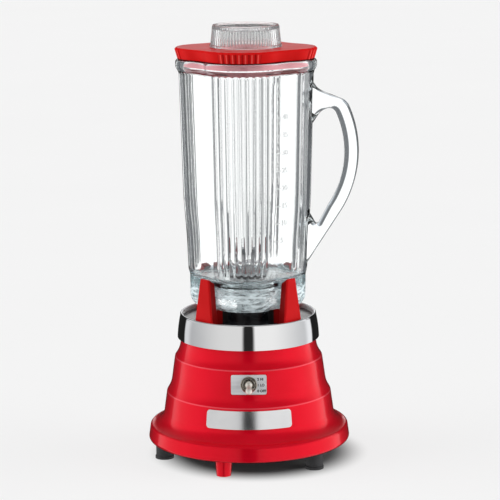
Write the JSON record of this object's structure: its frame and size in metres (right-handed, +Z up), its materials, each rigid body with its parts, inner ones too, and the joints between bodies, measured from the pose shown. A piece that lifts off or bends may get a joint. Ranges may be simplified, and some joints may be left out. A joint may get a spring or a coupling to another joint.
{
  "type": "countertop blender",
  "caption": "Countertop blender: stepped red base with chrome ring, toggle switch and jar posts, fluted clover-section glass jar with handle and blades, ribbed lid and clear measuring cap.",
  "frame": {"origin": "on the counter, on the drive axis of the motor and blades", "axes": "+Z up along the drive axis; -Y to the front with the switch; +X towards the side that the jar's handle is on"},
  "size_m": [0.1889, 0.182, 0.3865],
  "materials": {
    "red_enamel": "gloss red enamel on a casting",
    "chrome": "polished chrome plate",
    "nickel": "warm nickel plate",
    "black_deck": "gloss black moulding",
    "steel": "plain zinc-plated steel",
    "blade_steel": "stainless steel",
    "switch_panel": "brushed silver plate",
    "core_steel": "laminated core steel",
    "copper": "copper",
    "brass": "plain brass",
    "carbon": "carbon block",
    "bracket_metal": "die-cast aluminium",
    "black_plastic": "black moulding",
    "plate_metal": "black painted sheet steel",
    "rubber": "dark grey rubber",
    "jar_glass": "thick clear pressed glass",
    "red_lid": "satin red moulding",
    "clear_cap": "clear fluted plastic"
  },
  "bodies": {
    "base": {"base_housing": "red_enamel", "trim_ring": "chrome", "deck": "black_deck", "jar_cradle": "red_enamel", "cradle_screws": "steel", "shaft_seal": "rubber", "bottom_plate": "plate_metal", "foot_left": "rubber", "foot_right": "rubber", "foot_rear": "rubber", "foot_screws": "steel", "cord_grommet": "rubber", "switch_plate": "switch_panel", "switch_bushing": "nickel", "switch_nut": "nickel", "switch_body": "black_plastic", "switch_terminals": "brass", "badge": "chrome", "upper_bracket": "bracket_metal", "bracket_screws": "steel", "stator_core": "core_steel", "field_coil_left": "copper", "field_coil_right": "copper", "lower_bracket": "bracket_metal", "motor_bolts": "steel", "upper_bearing": "steel", "lower_bearing": "steel", "brush_holder_front": "brass", "brush_holder_rear": "brass", "carbon_brush_front": "carbon", "carbon_brush_rear": "carbon", "brush_spring_front": "steel", "brush_spring_rear": "steel"},
    "rotor": {"motor_shaft": "steel", "rotor_core": "core_steel", "rotor_windings": "copper", "commutator": "copper", "cooling_fan": "black_plastic", "drive_stud": "steel"},
    "toggle": {"toggle_lever": "nickel", "toggle_pin": "steel"},
    "jar": {"glass_jar": "jar_glass", "jar_gasket": "rubber", "jar_washer": "rubber", "blade_housing": "blade_steel", "blade_bush": "brass", "lock_nut": "black_plastic"},
    "blades": {"blade_shaft": "blade_steel", "jar_coupling": "black_plastic", "lower_blade": "blade_steel", "upper_blade": "blade_steel", "blade_washer": "blade_steel", "blade_nut": "blade_steel"},
    "lid": {"lid": "red_lid"},
    "cap": {"measure_cap": "clear_cap"}
  },
  "joints": [
    {"name": "rotor_spin", "type": "hinge", "parent": "base", "child": "rotor", "pos_m": [0, 0, 0.08], "axis": [0, 0, 1], "continuous": true},
    {"name": "toggle_flip", "type": "hinge", "parent": "base", "child": "toggle", "pos_m": [0, -0.0679, 0.07954], "axis": [-1, 0, 0], "range_deg": [0, 30]},
    {"name": "jar_lift", "type": "slide", "parent": "base", "child": "jar", "axis": [0, 0, 1], "range_m": [0, 0.09]},
    {"name": "blade_spin", "type": "hinge", "parent": "jar", "child": "blades", "pos_m": [0, 0, 0.17], "axis": [0, 0, 1], "continuous": true},
    {"name": "lid_lift", "type": "slide", "parent": "jar", "child": "lid", "axis": [0, 0, 1], "range_m": [0, 0.06]},
    {"name": "cap_lift", "type": "slide", "parent": "lid", "child": "cap", "axis": [0, 0, 1], "range_m": [0, 0.05]}
  ],
  "couplings": [
    {"joint": "blade_spin", "follows": "rotor_spin", "ratio": 1}
  ]
}
